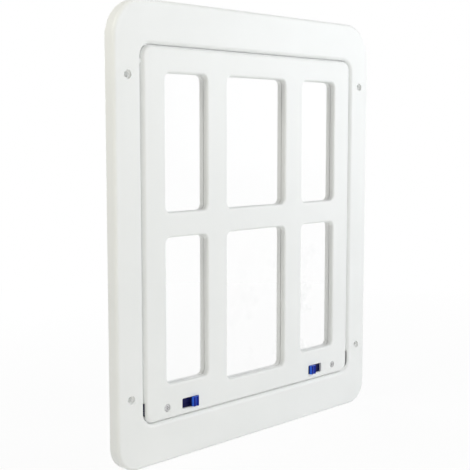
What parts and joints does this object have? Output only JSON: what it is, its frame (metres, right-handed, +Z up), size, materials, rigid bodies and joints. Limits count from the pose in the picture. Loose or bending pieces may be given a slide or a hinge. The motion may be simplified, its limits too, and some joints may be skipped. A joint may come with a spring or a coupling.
{
  "type": "pet door",
  "caption": "Pet door with a rounded surround, a lattice flap with a clear pane that swings both ways, magnets and slide latches that lock it.",
  "frame": {"origin": "centre of the four mounting screw holes, which is the centre of the surround, on the plane where its front and rear halves meet", "axes": "+X to the right seen from the front, +Y through the door from front to rear along the screw holes, +Z up"},
  "size_m": [0.313, 0.014, 0.37],
  "materials": {
    "white_plastic": "satin moulded white plastic",
    "blue_plastic": "glossy moulded dark blue plastic",
    "clear_plastic": "clear flexible sheet",
    "screw_steel": "plain steel",
    "magnet": "pressed ferrite, dark grey"
  },
  "bodies": {
    "surround": {"front_frame": "white_plastic", "rear_frame": "white_plastic", "left_frame_magnet": "magnet", "right_frame_magnet": "magnet"},
    "flap": {"flap_front": "white_plastic", "flap_rear": "white_plastic", "pane": "clear_plastic", "left_hinge_pin": "white_plastic", "right_hinge_pin": "white_plastic", "flap_screws": "screw_steel", "left_flap_magnet": "magnet", "right_flap_magnet": "magnet"},
    "left_latch": {"left_latch": "blue_plastic"},
    "right_latch": {"right_latch": "blue_plastic"}
  },
  "joints": [
    {"name": "flap_swing", "type": "hinge", "parent": "surround", "child": "flap", "pos_m": [0, 0, 0.1372], "axis": [1, 0, 0], "range_deg": [-90, 90]},
    {"name": "left_latch_slide", "type": "slide", "parent": "flap", "child": "left_latch", "axis": [-1, 0, 0], "range_m": [0, 0.0095]},
    {"name": "right_latch_slide", "type": "slide", "parent": "flap", "child": "right_latch", "axis": [1, 0, 0], "range_m": [0, 0.0095]}
  ]
}
